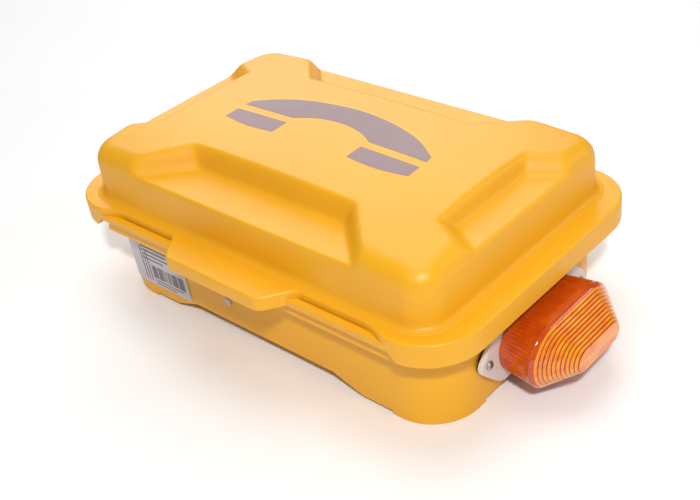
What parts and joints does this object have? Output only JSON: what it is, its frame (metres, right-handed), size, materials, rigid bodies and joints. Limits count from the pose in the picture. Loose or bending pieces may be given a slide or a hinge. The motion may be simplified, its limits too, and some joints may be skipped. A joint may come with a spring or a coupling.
{
  "type": "manual call point",
  "caption": "Weatherproof yellow call station: lidded telephone box with handset, keypad and red call button inside and a ribbed amber beacon on one side.",
  "frame": {"origin": "centre of the flat pad under the back of the box, at the level of the four feet", "axes": "+Z out of the lid, +X towards the end with the amber beacon, +Y from the finger tab towards the hinge"},
  "size_m": [0.4392, 0.2805, 0.147],
  "materials": {
    "yellow_shell": "moulded safety yellow, slight sheen",
    "dark_rubber": "matt black",
    "steel_plate": "brushed stainless",
    "key_metal": "satin die cast",
    "black_plastic": "textured black",
    "grey_plastic": "satin grey",
    "amber_lens": "clear amber, ribbed inside",
    "label_film": "silver-grey film",
    "green_board": "circuit board lacquer",
    "call_red": "gloss red"
  },
  "bodies": {
    "base": {"housing": "yellow_shell", "catch_magnet": "dark_rubber", "cord_bush": "dark_rubber", "beacon_gasket": "dark_rubber", "faceplate": "steel_plate", "hinge_pin_left": "steel_plate", "hinge_pin_right": "steel_plate", "lid_spring_left": "steel_plate", "lid_spring_right": "steel_plate", "keypad_frame": "key_metal", "call_bezel": "key_metal", "faceplate_screw_1": "key_metal", "faceplate_screw_2": "key_metal", "faceplate_screw_3": "key_metal", "faceplate_screw_4": "key_metal", "beacon_screw_1": "key_metal", "beacon_screw_2": "key_metal", "cradle": "black_plastic", "power_module": "black_plastic", "cable_gland_1": "black_plastic", "cable_gland_2": "black_plastic", "gland_nut_1": "black_plastic", "gland_nut_2": "black_plastic", "beacon_base": "grey_plastic", "beacon_lamp": "grey_plastic", "speaker": "grey_plastic", "beacon_lens": "amber_lens", "status_lamp": "amber_lens", "rating_label": "label_film", "instruction_plate": "label_film", "vent_plug": "label_film", "main_board": "green_board", "keypad_board": "green_board", "terminal_block": "call_red"},
    "lid": {"lid": "yellow_shell", "lid_seal": "dark_rubber", "catch_keeper": "steel_plate"},
    "handset": {"handset_body": "black_plastic", "earpiece_cap": "black_plastic", "mouthpiece_cap": "black_plastic"},
    "hook": {"hook_plunger": "grey_plastic"},
    "call_button": {"call_button": "call_red"},
    "key_1": {"key_1": "key_metal"},
    "key_2": {"key_2": "key_metal"},
    "key_3": {"key_3": "key_metal"},
    "key_4": {"key_4": "key_metal"},
    "key_5": {"key_5": "key_metal"},
    "key_6": {"key_6": "key_metal"},
    "key_7": {"key_7": "key_metal"},
    "key_8": {"key_8": "key_metal"},
    "key_9": {"key_9": "key_metal"},
    "key_star": {"key_star": "key_metal"},
    "key_0": {"key_0": "key_metal"},
    "key_hash": {"key_hash": "key_metal"}
  },
  "joints": [
    {"name": "lid_hinge", "type": "hinge", "parent": "base", "child": "lid", "pos_m": [0, 0.1325, 0.076], "axis": [-1, 0, 0], "range_deg": [0, 110], "stiffness_Nm_per_rad": 0.25, "springref_deg": -34.38},
    {"name": "handset_lift", "type": "slide", "parent": "base", "child": "handset", "axis": [0, 0, 1], "range_m": [0, 0.012]},
    {"name": "hook_travel", "type": "slide", "parent": "base", "child": "hook", "axis": [0, 0, 1], "range_m": [0, 0.006]},
    {"name": "call_press", "type": "slide", "parent": "base", "child": "call_button", "axis": [0, 0, -1], "range_m": [0, 0.004], "stiffness_N_per_m": 400, "springref_m": -0.003},
    {"name": "key_1_press", "type": "slide", "parent": "base", "child": "key_1", "axis": [0, 0, -1], "range_m": [0, 0.0015], "stiffness_N_per_m": 600, "springref_m": -0.0015},
    {"name": "key_2_press", "type": "slide", "parent": "base", "child": "key_2", "axis": [0, 0, -1], "range_m": [0, 0.0015], "stiffness_N_per_m": 600, "springref_m": -0.0015},
    {"name": "key_3_press", "type": "slide", "parent": "base", "child": "key_3", "axis": [0, 0, -1], "range_m": [0, 0.0015], "stiffness_N_per_m": 600, "springref_m": -0.0015},
    {"name": "key_4_press", "type": "slide", "parent": "base", "child": "key_4", "axis": [0, 0, -1], "range_m": [0, 0.0015], "stiffness_N_per_m": 600, "springref_m": -0.0015},
    {"name": "key_5_press", "type": "slide", "parent": "base", "child": "key_5", "axis": [0, 0, -1], "range_m": [0, 0.0015], "stiffness_N_per_m": 600, "springref_m": -0.0015},
    {"name": "key_6_press", "type": "slide", "parent": "base", "child": "key_6", "axis": [0, 0, -1], "range_m": [0, 0.0015], "stiffness_N_per_m": 600, "springref_m": -0.0015},
    {"name": "key_7_press", "type": "slide", "parent": "base", "child": "key_7", "axis": [0, 0, -1], "range_m": [0, 0.0015], "stiffness_N_per_m": 600, "springref_m": -0.0015},
    {"name": "key_8_press", "type": "slide", "parent": "base", "child": "key_8", "axis": [0, 0, -1], "range_m": [0, 0.0015], "stiffness_N_per_m": 600, "springref_m": -0.0015},
    {"name": "key_9_press", "type": "slide", "parent": "base", "child": "key_9", "axis": [0, 0, -1], "range_m": [0, 0.0015], "stiffness_N_per_m": 600, "springref_m": -0.0015},
    {"name": "key_star_press", "type": "slide", "parent": "base", "child": "key_star", "axis": [0, 0, -1], "range_m": [0, 0.0015], "stiffness_N_per_m": 600, "springref_m": -0.0015},
    {"name": "key_0_press", "type": "slide", "parent": "base", "child": "key_0", "axis": [0, 0, -1], "range_m": [0, 0.0015], "stiffness_N_per_m": 600, "springref_m": -0.0015},
    {"name": "key_hash_press", "type": "slide", "parent": "base", "child": "key_hash", "axis": [0, 0, -1], "range_m": [0, 0.0015], "stiffness_N_per_m": 600, "springref_m": -0.0015}
  ],
  "couplings": [
    {"joint": "hook_travel", "follows": "handset_lift", "ratio": 0.5}
  ]
}
